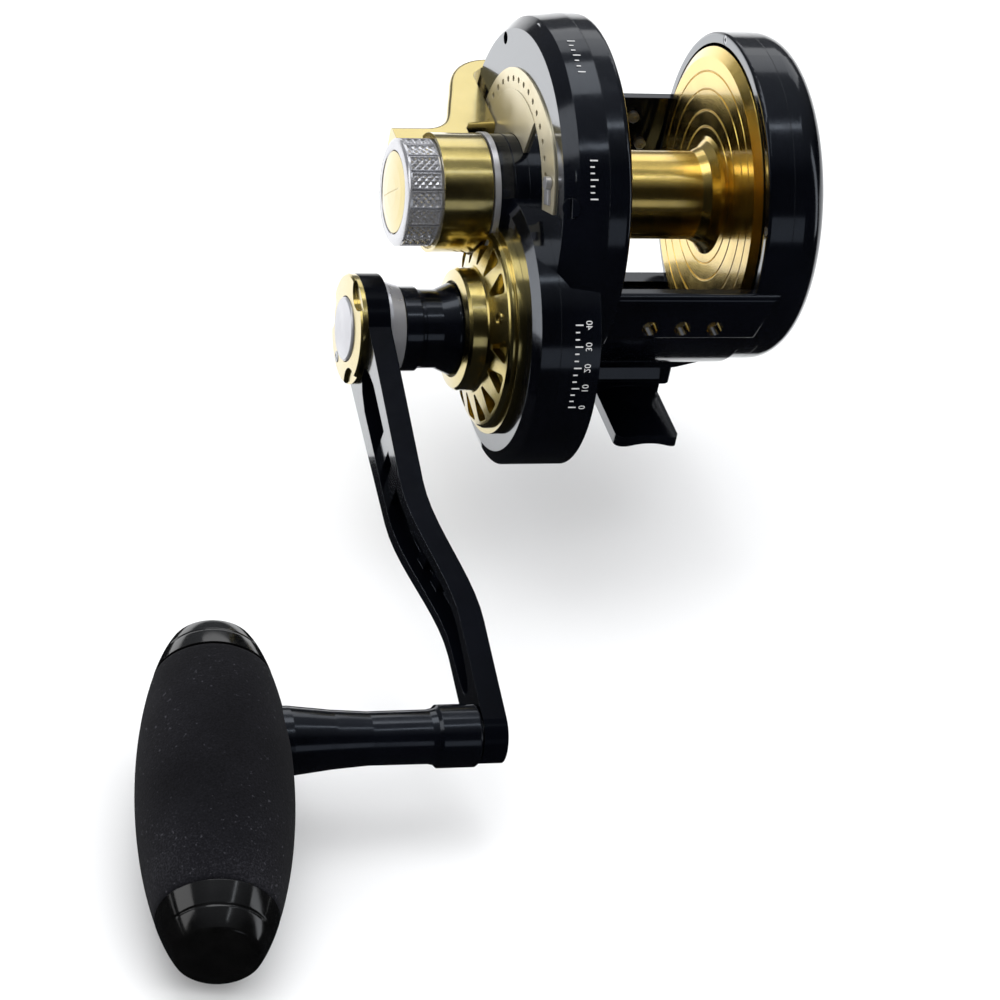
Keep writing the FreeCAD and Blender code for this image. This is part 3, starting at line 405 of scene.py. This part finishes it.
def tooth(s):
    """Triangle wave: 0 at whole numbers, 1 half way between."""
    return 1 - abs(2 * (s - math.floor(s)) - 1)


# Preset knob, in mm. A panel's frame, and the groove beside it, start part of the way from its middle
# to its edge.
KNOB_R, KNOB_PANELS = 10.95, 18
PANEL_GROOVE, KNURL_DEPTH, KNURL_RISE, KNURL_PITCH = 0.65, 0.46, 0.40, 1.5
GROOVE_FROM, FRAME_FROM = 0.90, 0.76
RIM_WIDTH, FRAME_WIDTH = 0.30, 0.60                         # from the ends of the band
BAND_STEPS, SEGMENTS_PER_PANEL = 52, 30


def knurled_radius(x, angle, start, end):
    """Radius of the grip band: framed panels of diamond knurling with grooves between them."""
    panel = angle / (2 * math.pi) * KNOB_PANELS
    across = abs(2 * (panel - math.floor(panel)) - 1)           # 0 in the panel's middle, 1 at its edge
    from_end = min(x - start, end - x)
    if across > GROOVE_FROM and from_end > RIM_WIDTH:
        return KNOB_R - PANEL_GROOVE
    if across > FRAME_FROM or from_end < FRAME_WIDTH:
        return KNOB_R
    u = angle * KNOB_R
    diamond = min(tooth((u + x) / KNURL_PITCH), tooth((u - x) / KNURL_PITCH))
    return KNOB_R - KNURL_DEPTH + KNURL_RISE * diamond


def preset_knob_grip():
    """The preset knob with its knurled band, bored for the axle and recessed for the gold cap."""
    low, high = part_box("preset_knob")
    x0, x1 = low.x / MM, high.x / MM
    axle_hole, recess, recess_depth = 3.1, 8.45, 1.4
    start, end = x0 + 0.55, x1 - 0.15
    rows = [(x0 + recess_depth, axle_hole), (x0 + recess_depth, recess), (x0 + 0.25, recess),
            (x0, recess + 0.2), (x0, KNOB_R - 0.85), (x0 + 0.12, KNOB_R - 0.55), (start - 0.1, KNOB_R - 0.1)]
    for n in range(BAND_STEPS + 1):
        x = start + (end - start) * n / BAND_STEPS
        rows.append((x, lambda angle, x=x: knurled_radius(x, angle, start, end)))
    rows += [(x1, KNOB_R - 0.3), (x1, axle_hole)]
    centre = (0, SPOOL_AXIS[0] / MM, SPOOL_AXIS[1] / MM)
    points, faces = turned_points(rows, centre, (1, 0, 0), KNOB_PANELS * SEGMENTS_PER_PANEL, closed=True)
    obj = built("preset_knob_grip", points, faces, silver_knurl, "preset", 28.0)
    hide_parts("preset_knob")


# The handle knob's grip stands ahead of the stem, tips down in front and rakes outwards; all in mm.
GRIP_RAKE, GRIP_DROP = math.radians(9.3), math.radians(9.2)
GRIP_WAY = Vector((-math.sin(GRIP_RAKE), -math.cos(GRIP_RAKE) * math.cos(GRIP_DROP),
                   -math.cos(GRIP_RAKE) * math.sin(GRIP_DROP)))
STEM_CENTRE = Vector((0, STEM_AXIS[0] / MM, STEM_AXIS[1] / MM))
GRIP_MIDDLE = STEM_CENTRE + Vector((-107.8, 0, 0)) + GRIP_WAY * 13.2
GRIP_HALF, GRIP_TIP_R, GRIP_SWELL, GRIP_FULLNESS = 38.7, 6.5, 8.25, 0.71
CAP_AT, END_AT = 0.735, 0.955                               # cap seams and flat ends, as parts of GRIP_HALF
STEM_BORE = ((-101.8, 6.62), (-94.6, 6.62), (-94.1, 6.9), (-93.4, 7.4), (-60.0, 7.6))       # (x, radius)
BARREL_STEPS, CAP_STEPS, GRIP_SEGMENTS = 96, 44, 128


def grip_radius(t):
    """Radius of the barrel-shaped grip, with t running from -1 to 1 along it."""
    return GRIP_TIP_R + GRIP_SWELL * (1 - t * t) ** GRIP_FULLNESS


def foam_grip():
    """Barrel of EVA foam with softened ends, bored for the stem."""
    softened, drop, below_caps = 0.9, 0.45, 0.05
    rows = []
    for n in range(BARREL_STEPS + 1):
        t = -CAP_AT + 2 * CAP_AT * n / BARREL_STEPS
        edge = max(0.0, 1 - (CAP_AT - abs(t)) * GRIP_HALF / softened)
        rows.append((t * GRIP_HALF, grip_radius(t) - below_caps - drop * edge ** 2))
    points, faces = turned_points(rows, GRIP_MIDDLE, GRIP_WAY, GRIP_SEGMENTS)
    obj = built("foam_grip", points, faces, eva, "handle_knob", 50.0)
    points, faces = turned_points(STEM_BORE, STEM_CENTRE, (1, 0, 0), 64)
    cutter_mesh = bpy.data.meshes.new("bore")
    cutter_mesh.from_pydata([tuple(c * MM for c in p) for p in points], [], faces)
    cutter = bpy.data.objects.new("bore", cutter_mesh)
    bpy.context.scene.collection.objects.link(cutter)
    cut = obj.modifiers.new("bore", "BOOLEAN")
    cut.object, cut.operation, cut.solver = cutter, "DIFFERENCE", "EXACT"
    bpy.context.view_layer.update()
    bored = bpy.data.meshes.new_from_object(obj.evaluated_get(bpy.context.evaluated_depsgraph_get()))
    obj.modifiers.clear()
    obj.data = bored
    bpy.data.objects.remove(cutter)
    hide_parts("knob_grip")


def grip_cap(name, node, side):
    """Polished dome with one fine ring groove and a flat end; side is 1 in front and -1 behind."""
    groove_at, groove_half, groove_depth = 4.6, 0.28, 0.16
    seat = CAP_AT * GRIP_HALF + 0.02
    start, end = seat + 0.12, END_AT * GRIP_HALF
    outline = [(seat, 0.0), (seat, grip_radius(CAP_AT) - 0.3)]
    for n in range(CAP_STEPS + 1):
        along = start + (end - start) * n / CAP_STEPS
        groove = max(0.0, 1 - abs(along - seat - groove_at) / groove_half)
        outline.append((along, grip_radius(along / GRIP_HALF) - groove_depth * groove))
    last, r = outline[-1]
    outline += [(last + 0.28, r - 0.30), (last + 0.42, r - 0.75), (last + 0.46, r - 1.4),
                (last + 0.46, 0.0)]
    rows = [(side * along, max(radius, 0.02)) for along, radius in outline]
    points, faces = turned_points(rows, GRIP_MIDDLE, GRIP_WAY, GRIP_SEGMENTS)
    if side < 0:
        faces = [tuple(reversed(f)) for f in faces]
    obj = built(name, points, faces, cap_black, "handle_knob", 40.0)
    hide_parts(node)


def rim_scale(name, axis, x, radius, angles, numbers):
    """White engraved scale round a rim, in mm and degrees up from the front.

    Every third tick is long, and any plain numbers stand beside the long ones.
    """
    raised, sunk, half_width = 0.03, -0.05, 0.14
    points, faces = [], []

    def place(angle, at_x, lift=raised):
        r = radius + lift
        return (at_x, axis[0] / MM - r * math.cos(angle), axis[1] / MM + r * math.sin(angle))

    def patch(angle0, angle1, xa, xb):
        k = len(points)
        for lift in (sunk, raised):
            points.extend([place(angle0, xa, lift), place(angle1, xa, lift), place(angle1, xb, lift),
                           place(angle0, xb, lift)])
        faces.extend([(k, k + 1, k + 2, k + 3), (k + 7, k + 6, k + 5, k + 4)])
        faces.extend([(k + n, k + 4 + n, k + 4 + (n + 1) % 4, k + (n + 1) % 4) for n in range(4)])

    start, end, count = angles
    for n in range(count):
        angle = math.radians(start + (end - start) * n / (count - 1))
        half = half_width / radius
        patch(angle - half, angle + half, x - 1.0, x + (0.6 if n % 3 == 0 else -0.1))
    for n, number in enumerate(numbers):
        curve = bpy.data.curves.new("number", "FONT")
        curve.body, curve.size, curve.align_x, curve.align_y = number, 1.9, "CENTER", "CENTER"
        text = bpy.data.objects.new("number", curve)
        flat = bpy.data.meshes.new_from_object(text)
        angle = math.radians(start + (end - start) * 3 * n / (count - 1))
        k = len(points)
        points.extend(place(angle + v.co.x / radius, x + 1.75 + v.co.y) for v in flat.vertices)
        faces.extend(tuple(k + i for i in polygon.vertices) for polygon in flat.polygons)
        bpy.data.objects.remove(text)
    built(name, points, faces, white_fill, "frame")


preset_knob_grip()
foam_grip()
grip_cap("grip_cap_front", "knob_cap_front", 1)
grip_cap("grip_cap_rear", "knob_cap_rear", -1)
rim_scale("rim_scale_upper", SPOOL_AXIS, -22.6, 36.6, (74, 89, 7), ())
rim_scale("rim_scale_front", SPOOL_AXIS, -22.8, 36.6, (31, 43, 7), ())
rim_scale("housing_scale", CRANK_AXIS, -24.2, 27.6, (0, 36, 13), ("0", "10", "20", "30", "40"))


# ---- stage ---------------------------------------------------------------------------------------
# In metres. The camera stands where the photo's did, and the softboxes aim at the reel's middle.
FLOOR_REACH, FLOOR_GAP = 6, 0.0005
FLOOR_PALE, FLOOR_SHADE = 0.90, 0.88
BRIGHTEST_WAY = (0.0, 0.5, 0.866)
DARK_END, PALE_END = (0.30, 0.012), (0.95, 0.34)            # (ramp position, radiance)
REEL_MIDDLE = (-0.04, -0.05, 0.03)
CAMERA_PLACE = (-0.29696, -0.70687, 0.49385)
CAMERA_TURN = (54.3980, -9.8463, -14.6358)                  # degrees
LENS_MM, SENSOR_MM = 154.8, 36


def floor(name, y0, y1):
    """Half of the plain pale floor, from y0 to y1."""
    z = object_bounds()[0].z - FLOOR_GAP
    mesh = bpy.data.meshes.new(name)
    corners = [(-FLOOR_REACH, y0, z), (FLOOR_REACH, y0, z), (FLOOR_REACH, y1, z), (-FLOOR_REACH, y1, z)]
    mesh.from_pydata(corners, [], [(0, 1, 2, 3)])
    obj = bpy.data.objects.new(name, mesh)
    bpy.context.scene.collection.objects.link(obj)
    g = Graph(name)
    grain = g.noise(g.space, 14.0, 3.0)
    tone = g.ramp(grain, (0.3, FLOOR_SHADE), (0.7, FLOOR_PALE))
    mesh.materials.append(g.finish(colour=tone, rough=0.6, level=0.2))
    obj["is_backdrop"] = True
    return obj


def softbox(name, place, size, radiance, colour=(1, 1, 1)):
    """Rectangular light aimed at the reel; radiance is how bright it looks in a mirror."""
    data = bpy.data.lights.new(name, "AREA")
    data.shape, data.size, data.size_y = "RECTANGLE", size[0], size[1]
    data.energy, data.color = radiance * math.pi * size[0] * size[1], colour
    obj = bpy.data.objects.new(name, data)
    obj.location = place
    obj.rotation_euler = (Vector(REEL_MIDDLE) - Vector(place)).to_track_quat("-Z", "Y").to_euler()
    bpy.context.scene.collection.objects.link(obj)


def studio_world():
    """Room that is dark in front of the reel and brightens towards the ceiling and the back."""
    world = bpy.data.worlds.new("studio")
    world.use_nodes = True
    tree = world.node_tree
    direction = tree.nodes.new("ShaderNodeTexCoord").outputs["Generated"]
    height = tree.nodes.new("ShaderNodeVectorMath")
    height.operation = "DOT_PRODUCT"
    height.inputs[1].default_value = BRIGHTEST_WAY
    tree.links.new(direction, height.inputs[0])
    ramp = tree.nodes.new("ShaderNodeValToRGB")
    for element, (position, value) in zip(ramp.color_ramp.elements, (DARK_END, PALE_END)):
        element.position = position
        element.color = (value * 0.93, value * 0.97, value * 1.05, 1)
    tree.links.new(height.outputs["Value"], ramp.inputs[0])
    tree.links.new(ramp.outputs[0], tree.nodes["Background"].inputs[0])
    bpy.context.scene.world = world


def even_light():
    """A very wide sun that fills the shadows and isn't mirrored."""
    sun = bpy.data.lights.new("even_light", "SUN")
    sun.energy, sun.angle = 3.5, 3.0
    obj = bpy.data.objects.new("even_light", sun)
    obj.rotation_euler = (math.radians(-14), math.radians(-10), 0)
    obj.visible_glossy = False
    bpy.context.scene.collection.objects.link(obj)


def stage():
    """Floor, whose front half isn't mirrored in the metal, the room and its lights."""
    floor("floor_back", 0.0, FLOOR_REACH)
    floor("floor_front", -FLOOR_REACH, 0.0).visible_glossy = False
    studio_world()
    softbox("overhead", (-0.15, 0.30, 1.15), (0.9, 0.5), 2.2, (0.98, 0.99, 1))
    softbox("strip", (0.30, -0.32, 1.10), (0.8, 0.045), 3.5, (0.90, 0.95, 1))
    softbox("back", (0.36, 0.95, 0.72), (1.2, 0.6), 1.15)
    softbox("left", (-1.10, 0.10, 0.42), (0.45, 0.6), 1.8)
    softbox("front", (0.36, -1.15, 0.22), (0.34, 0.34), 0.55, (0.84, 0.90, 1))
    softbox("right", (1.0, -0.25, 0.30), (0.18, 0.9), 2.0, (0.93, 0.96, 1))
    even_light()


def camera():
    data = bpy.data.cameras.new("camera")
    data.lens, data.sensor_width = LENS_MM, SENSOR_MM
    data.clip_start, data.clip_end = 0.01, 50
    obj = bpy.data.objects.new("camera", data)
    obj.location = CAMERA_PLACE
    obj.rotation_euler = tuple(math.radians(angle) for angle in CAMERA_TURN)
    bpy.context.scene.collection.objects.link(obj)
    bpy.context.scene.camera = obj


camera()
stage()
bpy.context.scene.view_settings.view_transform = "Standard"
